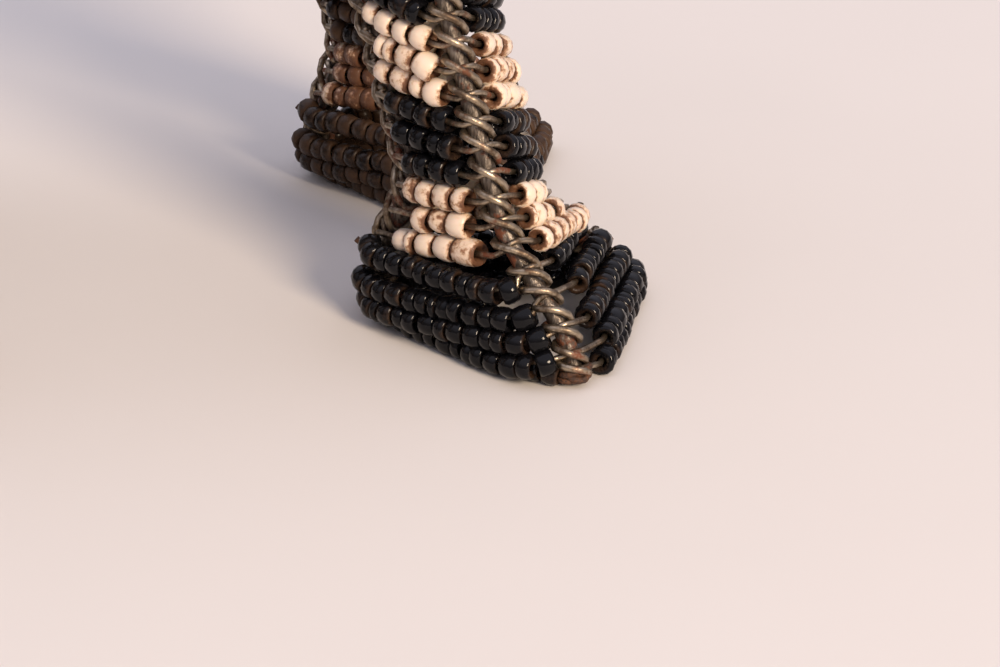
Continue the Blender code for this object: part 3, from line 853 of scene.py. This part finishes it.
def crossings_over(limb, rows, wire):
    """Paths of the binding wire from the middle of one side, over a wire, to the middle of the next side."""
    before = (wire - 1) % limb.sides
    centre, out, aside, climb = limb.corner(wire, limb.rows[rows])
    leave = np.array([limb.share_at(r, before, limb.length[r, before] - limb.end[r, before]) for r in rows])
    enter = np.array([limb.share_at(r, wire, limb.start[r, wire]) for r in rows])
    fade = np.linspace(0.0, 1.0, 4)[None]
    tail = limb.at(rows[:, None], before, 0.5 + (leave[:, None] - 0.5) * fade)
    nose = limb.at(rows[:, None], wire, enter[:, None] + (0.5 - enter[:, None]) * fade)
    level = (tail[:, -1] + nose[:, 0] - 2 * centre) / 2
    level = (level * climb).sum(axis=-1)[:, None]
    over = OVER * CHANCE.uniform(1.0, 1.15, len(rows))[:, None]
    middle = [centre + climb * (level + ARCH * np.sin(a)) + over * (np.cos(a) * aside + np.sin(a) * out)
              for a in CROSSING]
    bridge = curve_through(np.stack([tail[:, -1], *middle, nose[:, 0]], axis=1), 9)
    return np.concatenate([tail[:, :-1], bridge, nose[:, 1:]], axis=1)


def lashing(limb, wire, low, high, turns, samples):
    """One long path that winds round an armature wire, from row low to row high.

    The angle grows evenly with the row number, one turn a row or more. The climb is steeper in front than
    behind, and the path stands further off where it lies over the binding wire.
    """
    s = np.linspace(low, high, int((high - low) * turns * samples))
    phase = (s - 0.5) * turns
    rows = np.arange(int(low) - 2, int(high) + 3)
    loose = np.interp(s, rows, CHANCE.uniform(0.0, 1.0, len(rows)))
    wander = np.interp(s, rows, CHANCE.uniform(-WANDER, WANDER, len(rows)))
    angle = 2 * np.pi * phase + np.pi / 2
    front = np.clip(np.sin(angle), 0.0, 1.0)
    climbed = s + (STEEP * np.sin(2 * np.pi * phase) + RAISED * front) / turns + wander
    centre, out, aside, _ = limb.corner(wire, climbed)
    radius = OVER + (CLOSE * (LASHED - OVER) + LOOSE * loose) * front
    turned_angle = (angle + LASHING_TURN)[:, None]
    return centre + radius[:, None] * (np.cos(turned_angle) * aside + np.sin(turned_angle) * out)


print("binding wire is", 2 * BINDING_RADIUS / MM, "mm thick")

# %% Make a limb's pieces
PAST_END = 0.6               # rows by which a wire runs past its last bead


def make_limb(name, limb, beads, around, solid=None, turns=1, samples=12, bare=(), free=(),
              thick=WIRE_RADIUS, below=PAST_END):
    """Beads, armature and binding wire of one limb, without the beads that lie outside the solid.

    Wires listed as bare belong to another limb, and those listed as free have no lashing. The wires begin
    the given number of rows below the lowest row.
    """
    if solid:
        kept = inside_solid(solid)(beads[0][:, 0:3])
        beads = tuple(part[kept] for part in beads)
    numbers, row_of, side_of = beads
    glass = bead_mesh(f"{name}_glass", numbers, around)
    frames, bindings, lashes = [], [], []
    for wire in range(limb.wires):
        near = np.isin(side_of, [wire % limb.sides, (wire - 1) % limb.sides])
        rows = np.unique(row_of[near])
        if limb.sides == 1 and wire == 1:
            bindings.append(limb.at(rows[:, None], 0, np.linspace(0.0, 1.0, 8)))
        if wire in bare:
            continue
        low, high = limb.rows[rows[0]] - below, limb.rows[rows[-1]] + PAST_END
        s = np.linspace(low, high, 60)
        frames.append(limb.corner(wire, s)[0])
        if limb.sides > 1:
            bindings.append(crossings_over(limb, rows, wire))
        if wire not in free:
            lashes.append(lashing(limb, wire, low, high, turns, samples))
    pieces = [glass, wire_mesh(f"{name}_armature", np.stack(frames), thick, 10, ARMATURE)]
    if bindings:
        pieces.append(wire_mesh(f"{name}_binding", np.concatenate(bindings), BINDING_RADIUS, 6, BINDING))
    for k, lash in enumerate(lashes):
        pieces.append(wire_mesh(f"{name}_lashing_{k + 1}", lash[None], LASHING_RADIUS, 6, BINDING))
    faces = sum(2 * len(piece.data.polygons) for piece in pieces)
    print(name, len(numbers), "beads,", len(pieces), "pieces, about", faces, "triangles")
    return pieces


def dress(pieces, glass_slot, *nodes):
    """Hide the frame's solids that the pieces stand for. The finish name, glass_slot, is not used."""
    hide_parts(*nodes)
    for piece in pieces[1:]:
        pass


print("limb maker ready")

# %% [markdown]
# ## Barrel, neck and head
#
# These are the wide tubes. Their rows follow the wires' centres, so the armature is sunk a little to leave
# room for the lashing. The barrel has by far the most beads, so each has one point fewer round it.

# %% Make barrel, neck and head
BODY_GAP = (1.7 * MM, 1.7 * MM)
BODY_BOW = 1.2               # per metre: a row of 15 mm bows out by 0.3 mm
BODY_SINK = 0.9 * MM
BODY_ROUND = 9               # points round a bead
MUZZLE_ROWS = 5


def head_colours(row):
    """Stripes, and a black muzzle."""
    return 1 if row > head_rows - MUZZLE_ROWS else stripes(1)(row)


for name, places, count, colours, around, solid in (
    ("barrel", barrel, barrel_rows, stripes(1), BODY_ROUND - 1, None),
    ("neck", neck, neck_rows, stripes(0), BODY_ROUND, "neck_beads"),
    ("head", head, head_rows, head_colours, BODY_ROUND, None),
):
    limb = Limb(places, 0, count, bow=BODY_BOW, gaps=BODY_GAP, sink=BODY_SINK)
    dress(make_limb(name, limb, string_beads(limb, colours), around, solid), "striped_beads", f"{name}_beads")

# %% [markdown]
# ## Legs and hooves
#
# A leg is a three-sided tube that flares into a three-cornered hoof. The rows pass over the outside of the
# armature wires, so they stand off by half a wire and half a binding wire. The lowest rows curl under
# the hoof.

# %% Sizes of the rows on leg and hoof
LEG_GAP_FRONT = 2.3 * MM     # beads begin this far from the first wire
LEG_GAP_BACK = 0.7 * MM      # and from the other two
LEG_SINK = np.array([0.0, 1.2, 1.2]) * MM        # how far each armature wire lies inside its corner
LEG_BOW = 2.0                # per metre: a row of 16 mm bows out by 0.5 mm
HOOF_TOP = 10.6 * MM         # height at which the hoof's top row crosses the first wire
CURL_RADIUS = 1.0 * MM       # the lower rows turn under the hoof on this radius
CURL_TOP = CURL_RADIUS + BEAD_RADIUS
HOOF_TUCK = np.array([0.3, 1.0, 1.0])            # how fully each side's rows follow that curl
HOOF_SAG = np.array([0.2, 0.5, 1.1]) * MM        # and how far they hang
# How far each row, lowest row first, bows out on each of the three sides
HOOF_BOW = MM * np.array([
    [2.0, 1.5, 3.4],
    [1.4, 1.5, 3.1],
    [0.5, 1.5, 2.8],
    [-0.3, 1.5, 2.6],
    [-0.9, 1.5, 2.5],
])
# Way down from the hoof's top row to each row, on each of its three wires
HOOF_WAY = MM * np.array([
    [9.3, 10.4, 13.0],
    [7.0, 8.2, 10.2],
    [4.6, 6.2, 7.3],
    [2.3, 3.7, 5.0],
    [-0.2, 1.2, 0.7],
])
# Where each row's first bead comes after each wire, and where its last bead ends before the next
HOOF_STARTS = MM * np.array([
    [2.4, 0.9, 0.9],
    [4.8, 0.9, 0.9],
    [3.9, 0.9, 0.9],
    [7.6, 0.9, 0.9],
    [6.8, 0.9, 0.9],
])
HOOF_ENDS = MM * np.array([0.9, 0.9, 0.5])
SETTLE = 1.0 * MM            # how gently the crossings ease up from the floor
SETTLE_LIFT = 0.2 * WIRE_RADIUS
print("sizes of", len(HOOF_STARTS), "rows of a hoof")

# %% The rows of a hoof


class Hoof(Limb):
    """The five rows of a hoof. A row's way down from the top row is worked out first, and then its place.

    The way runs straight down to CURL_TOP, then round a quarter circle, and then level under the hoof. The
    bow goes with 1 - |2u - 1|^8, nearly flat in the middle and steep at the wires.
    """

    def __init__(self, places, wires_at):
        self.wires_at = wires_at
        super().__init__(places, 0, HOOF_ROWS, OVER, gaps=(HOOF_STARTS, HOOF_ENDS), sink=LEG_SINK)

    def at(self, row, side, share):
        """Points on the strings."""
        row, side, share = np.broadcast_arrays(row, side, share)
        shape = share.shape
        row, side, share = row.ravel(), side.ravel(), share.ravel()
        after = (side + 1) % LEG_WIRES
        hump = 1 - np.abs(2 * share - 1) ** 8
        way = HOOF_WAY[row, side] * (1 - share) + HOOF_WAY[row, after] * share + HOOF_SAG[side] * hump
        straight = HOOF_TOP - CURL_TOP
        angle = np.clip((way - straight) / CURL_RADIUS, 0.0, np.pi / 2)
        level = np.maximum(way - straight - CURL_RADIUS * np.pi / 2, 0.0)
        wires = self.wires_at(HOOF_TOP - np.minimum(way, straight))
        each = np.arange(len(row))
        here = wires[each, side]
        run = wires[each, after] - here
        out = unit(np.stack([run[:, 1], -run[:, 0], np.zeros(len(row))], axis=-1))
        inset = (CURL_RADIUS * (1 - np.cos(angle)) + level) * HOOF_TUCK[side]
        off = OVER + HOOF_BOW[row, side] * hump - inset
        points = here + run * share[:, None] + out * off[:, None]
        points[:, 2] -= CURL_RADIUS * np.sin(angle)
        return points.reshape(*shape, 3)


def hoof_places(foot, side, lean):
    """Row crossings of a hoof, kept above the floor."""
    def places(s):
        height = row_height(np.atleast_1d(s))
        height = np.stack([height, height - FORE_DROP[0], height + AFT_RISE[0]], axis=-1)
        return leg_wires(foot, side, lean, above_floor(height, 0.0, SETTLE) + SETTLE_LIFT)
    return places


print("a hoof has", HOOF_ROWS, "rows on", LEG_WIRES, "wires")

# %% Knots and cut ends
KNOT_ROW = 0.4               # the knots sit at this row number
KNOT_LOOPS = 2
KNOT_TURNS = 2.6
KNOT_HEIGHT = 1.5 * MM
KNOT_RADIUS = 1.3 * MM
KNOT_WIRE = 0.9 * LASHING_RADIUS
STRAY = np.array([0.35, 0.7]) * MM       # how far a loop strays from its radius and from its height
CUT_END = 3.4 * MM           # length of a cut end
CUT_END_ROW = 4.7
CUT_END_RISE = 0.3


def toe_knots(hoof):
    """Loops of wire about the foot of each wire, and a cut end at the top of the second and third.

    A loop is a circle whose radius and height stray with sines of the turn. A cut end is a parabola that
    points outward.
    """
    turn = np.linspace(0.0, 2 * np.pi * KNOT_TURNS, 60)
    paths = []
    for wire in range(LEG_WIRES):
        foot = hoof.corner(wire, np.array([KNOT_ROW]))[0][0]
        for _ in range(KNOT_LOOPS):
            lag = CHANCE.uniform(0.0, 2 * np.pi)
            wide = KNOT_RADIUS + STRAY[0] * np.sin(1.7 * turn + lag)
            high = KNOT_HEIGHT + STRAY[1] * np.sin(0.63 * turn + 2 * lag)
            ring = np.column_stack([wide * np.cos(turn + lag), wide * np.sin(turn + lag), high])
            paths.append(ring + foot * np.array([1.0, 1.0, 0.0]))
    reach = np.linspace(0.0, 1.0, len(turn))[:, None]
    for wire in (1, 2):
        centre, out, _, climb = (part[0] for part in hoof.corner(wire, np.array([CUT_END_ROW])))
        paths.append(centre + CUT_END * (reach * out + CUT_END_RISE * reach**2 * climb))
    return np.stack(paths)


print("a toe has", KNOT_LOOPS, "loops of wire to each armature wire")

# %% String the legs
STAIN_AND_SHADE = 1.3                  # the left front leg is darker and browner all over: partly brown stain, partly painted shade
NEAR_ROUND, FAR_ROUND = 12, 10           # points round a bead on the photographed leg and on the others
LEG_SAMPLES = 14             # points on a turn of the lashing
HOOF_TURNS = 1.25            # turns of the lashing to a row of the hoof
LEG_STARTS = np.array([LEG_GAP_FRONT, LEG_GAP_BACK, LEG_GAP_BACK])
LEG_ENDS = np.array([LEG_GAP_BACK, LEG_GAP_BACK, 0.8 * LEG_GAP_FRONT])

for end, lean in (("front", FRONT_LEAN), ("hind", HIND_LEAN)):
    for side, hand in ((-1, "right"), (1, "left")):
        place = f"{end}_{hand}"
        foot = SOLES[f"sole_{place}"]
        around = NEAR_ROUND if place == "front_right" else FAR_ROUND
        soil_and_shade = STAIN_AND_SHADE if place == "front_left" else 0.0
        crossing = leg_places(foot, side, lean)
        leg = Limb(crossing, HOOF_ROWS, LEG_TOP, OVER, LEG_BOW, (LEG_STARTS, LEG_ENDS), LEG_SINK)
        strung = string_beads(leg, stripes(HOOF_ROWS), soil_and_shade)
        pieces = make_limb(f"leg_{place}", leg, strung, around, f"leg_{place}_beads", samples=LEG_SAMPLES)
        dress(pieces, "striped_beads", f"leg_{place}_beads")
        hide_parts(*(f"leg_{place}_wire_{k + 1}" for k in range(LEG_WIRES)))

        def wires_at(height, foot=foot, side=side, lean=lean):
            return leg_wires(foot, side, lean, np.repeat(height[:, None], LEG_WIRES, axis=1))

        hoof = Hoof(hoof_places(foot, side, lean), wires_at)
        strung = string_beads(hoof, lambda row: 1, soil_and_shade, ("hoof", "hoof"))
        pieces = make_limb(f"hoof_{place}", hoof, strung, around, turns=HOOF_TURNS, samples=LEG_SAMPLES)
        dress(pieces, "black_beads", f"hoof_{place}_beads")
        knots = wire_mesh(f"knots_{place}", toe_knots(hoof), KNOT_WIRE, 6, RUSTED)

# %% [markdown]
# ## Mane and ears
#
# These are flat: a single layer of beads between two wires. The mane shares its lower wire with the neck,
# and its stripes run on from the neck's. An ear's two wires part above its root and come together at its
# tip.

# %% Make mane and ears
MANE_HEIGHT = 7.5 * MM
MANE_GAPS = (1.6 * MM, 1.1 * MM)
EAR_HEIGHT = 17.0 * MM
EAR_WIDTH = 9.0 * MM
EAR_ROW = 2.8
EAR_START = 0.09             # share of the height that the head's own beads take up
EAR_SPREAD = 20.0
EAR_TURN = 35.0
EAR_WIRE = 0.55 * MM
EAR_GAPS = (0.5 * MM, 0.5 * MM)
EAR_BELOW = 1.5              # rows by which an ear's wires run down into the head


def mane_places(s):
    """Row crossings of the mane: the neck's back wire, and one that stands above it."""
    places = neck(s)
    back = unit(places[:, 0] - places.mean(axis=1))
    return np.stack([places[:, 0], places[:, 0] + back * (MANE_HEIGHT - WIRE_RADIUS)], axis=1)


def ear_places(side):
    """Row crossings of an ear, 0.35 + 0.65 sin(pi t^0.75) of the full width at a share t of its height."""
    rows = max(3, round(EAR_HEIGHT * (1 - EAR_START) / ROW_PITCH))
    places = head(EAR_ROW)[0]
    root = (places[0] + places[-1 if side > 0 else 1]) / 2
    spread, turn = np.radians(EAR_SPREAD), np.radians(EAR_TURN)
    rise = np.array([0.0, side * np.sin(spread), np.cos(spread)])
    across = np.array([np.sin(turn), side * np.cos(turn), 0.0])
    across = unit(across - rise * (across @ rise))

    def places_of(s):
        share = EAR_START + (1 - EAR_START) * np.atleast_1d(s)[:, None] / rows
        wide = 0.35 + 0.65 * np.sin(np.pi * np.clip(share, 0.0, 1.0) ** 0.75)
        half = EAR_WIDTH / 2 * wide - BEAD_RADIUS / 2
        centre = root + rise * EAR_HEIGHT * share
        return np.stack([centre - across * half, centre + across * half], axis=1)

    return places_of, rows


mane = Limb(mane_places, 0, neck_rows, gaps=MANE_GAPS)
pieces = make_limb("mane", mane, string_beads(mane, stripes(0)), BODY_ROUND, "mane_beads", bare=(0,))
dress(pieces, "striped_beads", "mane_beads")
for side, hand in ((1, "left"), (-1, "right")):
    places, ear_rows = ear_places(side)
    ear = Limb(places, 0, ear_rows, gaps=EAR_GAPS)
    strung = string_beads(ear, stripes(2))
    pieces = make_limb(f"ear_{hand}", ear, strung, BODY_ROUND, free=(0, 1), thick=EAR_WIRE, below=EAR_BELOW)
    dress(pieces, "striped_beads", f"ear_{hand}_beads")

# %% [markdown]
# ## Tail and eyes
#
# The tail is a single string that hangs from the rump, and its tuft is a bundle of short strings. Each eye
# is a larger bead that faces outward, with a seed bead sewn over its hole. Three more close the barrel's
# two ends and the muzzle.

# %% Make the tail
TAIL_LENGTH = 36.0 * MM
TAIL_REACH = 15.0 * MM
TAIL_ROW = 2.0
TUFT_LENGTH = 20.0 * MM
TUFT_DIAMETER = 9.0 * MM
TUFT_SHAPE = ((0.0, 0.35), (0.25, 0.85), (0.55, 1.0), (0.85, 0.8), (1.0, 0.35))
TUFT_STRINGS = 7
TUFT_GAP = 0.3 * MM
ROUTE_STEP = 0.5 * MM        # small step along a route, for its direction


def loose_string(route, kind):
    """Black beads that fill a route, an array of points, from end to end."""
    travel = np.concatenate([[0.0], np.cumsum(np.linalg.norm(np.diff(route, axis=0), axis=-1))])
    lengths = fill(travel[-1], kind)
    middle = np.cumsum(lengths) - lengths / 2

    def along(distance):
        return np.stack([np.interp(distance, travel, column) for column in route.T], axis=-1)

    centre = along(middle)
    count = len(middle)
    axis = unit(along(middle + ROUTE_STEP) - along(middle - ROUTE_STEP))
    axis = axis + CHANCE.normal(0.0, TILT, (count, 3))
    _, wide, spread, _, powers = BEAD_KINDS[kind]
    diameter = wide * (1 + spread * CHANCE.uniform(-1, 1, count))
    power = CHANCE.uniform(*powers, count)
    luck = CHANCE.random(count)
    return np.column_stack([centre, axis, lengths - SLACK, diameter, power, np.ones(count), luck])


t = np.linspace(0.0, 1.0, 40)
root = barrel(TAIL_ROW)[0, 0]
tail_route = np.column_stack([
    root[0] - TAIL_REACH * (1.0 - (1.0 - t) ** 2),
    np.full_like(t, root[1]),
    root[2] - (TAIL_LENGTH - BEAD_RADIUS) * (0.15 * t + 0.85 * t**2),
])
beads = loose_string(tail_route, "black")
beads = beads[inside_solid("tail_string")(beads[:, 0:3])]
tail = bead_mesh("tail_glass", beads, NEAR_ROUND)
tail_wire = wire_mesh("tail_wire", tail_route[None], BINDING_RADIUS, 6, BINDING)
dress([tail, tail_wire], "black_beads", "tail_string")

top = tail_route[-1] - np.array([0.0, 0.0, TUFT_GAP])
share = np.linspace(0.0, 1.0, 24)
spread = np.interp(share, *np.array(TUFT_SHAPE).T) * (TUFT_DIAMETER / 2 - BEAD_RADIUS)
strings, tufts = [], []
for k in range(TUFT_STRINGS):
    heading = 2 * np.pi * k / (TUFT_STRINGS - 1)
    away = spread * (k > 0)
    drop = TUFT_LENGTH * share * CHANCE.uniform(0.90, 1.0)
    route = top + np.column_stack([away * np.cos(heading), away * np.sin(heading), -drop])
    strings.append(route)
    tufts.append(loose_string(route, "black"))
tuft = bead_mesh("tuft_glass", np.concatenate(tufts), FAR_ROUND)
tuft_wire = wire_mesh("tuft_wires", np.stack(strings), BINDING_RADIUS, 6, BINDING)
dress([tuft, tuft_wire], "black_beads", "tail_tuft")
print("tail", len(beads), "beads, tuft", sum(map(len, tufts)))

# %% Make the eyes
LARGE_ROUND = 20             # points round a larger bead
EYE_DIAMETER = 4.2 * MM
EYE_LENGTH = 3.4 * MM
EYE_ROW = 5.2
EYE_SINK = 0.9 * MM
PUPIL_DIAMETER = 1.6 * MM
PUPIL_LENGTH = 1.3 * MM
PUPIL_OUT = 1.25 * MM

for side, hand in ((1, "left"), (-1, "right")):
    places = head(EYE_ROW)[0]
    pair = places[1:3] if side < 0 else places[-2:]
    outward = np.array([0.0, side, 0.0])
    centre = pair.mean(axis=0) + outward * EYE_SINK
    pupil = centre + outward * PUPIL_OUT
    eye = bead_mesh(f"eye_{hand}_glass", np.array([
        [*centre, *outward, EYE_LENGTH, EYE_DIAMETER, 0.9, 1, 0.2],
        [*pupil, 1.0, 0.0, 0.0, PUPIL_LENGTH, PUPIL_DIAMETER, 0.9, 1, 0.1],
    ]), LARGE_ROUND)
    dress([eye], "black_beads", f"eye_{hand}")
print("eyes", EYE_DIAMETER / MM, "mm")

# %% Close the ends
BUTTON_LENGTH = 2.0 * MM
ENDS = (
    ("rump", barrel, 0, 5.2 * MM),
    ("chest", barrel, barrel_rows, 5.2 * MM),
    ("muzzle", head, head_rows, 3.0 * MM),
)

for name, places, last, wide in ENDS:
    end, inner = places([last, abs(last - 1)]).mean(axis=1)
    outward = unit(end - inner)
    centre = end - outward * BUTTON_LENGTH / 4
    numbers = np.array([[*centre, *outward, BUTTON_LENGTH, wide, 0.9, 1, 0.4]])
    bead_mesh(f"button_{name}", numbers, LARGE_ROUND)
print("closed", len(ENDS), "ends")

# %% [markdown]
# ## Floor and light
#
# A plain pale floor, a cool surround that is brighter overhead, and one warm key light, low and to the
# right of the camera.

# %% Floor
FLOOR_REACH = 30.0
FLOOR_COLOUR = (0.735, 0.695, 0.65, 1.0)
FLOOR_SHADE = tuple(0.985 * c for c in FLOOR_COLOUR[:3]) + (1.0,)


def floor_finish():
    """A pale matt floor with a very faint unevenness."""
    made = Finish("pale_floor", {"Roughness": 0.75})
    cloud = made.noise(60.0 * MM, 2.0)
    return made.finish(Base_Color=made.blend(FLOOR_COLOUR, FLOOR_SHADE, cloud.ramp(0.3, 0.7)))


corners = FLOOR_REACH * np.array([[-1, -1, 0], [1, -1, 0], [1, 1, 0], [-1, 1, 0]], dtype=float)
floor_mesh = bpy.data.meshes.new("floor")
floor_mesh.from_pydata(corners.tolist(), [], [(0, 1, 2, 3)])
floor_mesh.materials.append(floor_finish())
floor = bpy.data.objects.new("floor", floor_mesh)
bpy.context.scene.collection.objects.link(floor)
print("floor", 2 * FLOOR_REACH, "m wide")

# %% Lights
OVERHEAD = (0.85, 0.84, 1.0, 1.0)            # the room's pale ceiling
AROUND = (0.20, 0.175, 0.175, 1.0)           # and its dimmer walls
WALL_TOP, CEILING = 0.1, 0.75                # heights of a direction at which one gives way to the other
KEY_COLOUR = (1.0, 0.80, 0.60)
KEY_WATTS = 102.0
KEY_SIZE = 0.95
KEY_DISTANCE = 3.0
KEY_RISE = np.radians(28.0)
KEY_HEADING = np.array([0.323, -0.946, 0.0])     # from the hoof towards the light, on the ground

world = bpy.data.worlds.new("surround")
bpy.context.scene.world = world
world.use_nodes = True
nodes, links = world.node_tree.nodes, world.node_tree.links
direction = nodes.new("ShaderNodeSeparateXYZ")
height = nodes.new("ShaderNodeMapRange")
height.interpolation_type = "SMOOTHSTEP"
height.inputs["From Min"].default_value = WALL_TOP
height.inputs["From Max"].default_value = CEILING
shade = nodes.new("ShaderNodeMix")
shade.data_type = "RGBA"
shade.inputs[6].default_value = AROUND
shade.inputs[7].default_value = OVERHEAD
links.new(nodes.new("ShaderNodeTexCoord").outputs["Generated"], direction.inputs[0])
links.new(direction.outputs["Z"], height.inputs["Value"])
links.new(height.outputs[0], shade.inputs[0])
links.new(shade.outputs[2], nodes["Background"].inputs["Color"])

lamp = bpy.data.lights.new("key", "AREA")
lamp.shape = "DISK"
lamp.size = KEY_SIZE
lamp.energy = KEY_WATTS
lamp.color = KEY_COLOUR
key = bpy.data.objects.new("key", lamp)
towards = KEY_HEADING * np.cos(KEY_RISE) + np.array([0.0, 0.0, np.sin(KEY_RISE)])
key.location = toe + towards * KEY_DISTANCE
key.rotation_euler = Vector(-towards).to_track_quat("-Z", "Y").to_euler()
bpy.context.scene.collection.objects.link(key)
bpy.context.scene.view_settings.view_transform = "Standard"
print("key light at", [round(v, 3) for v in key.location])
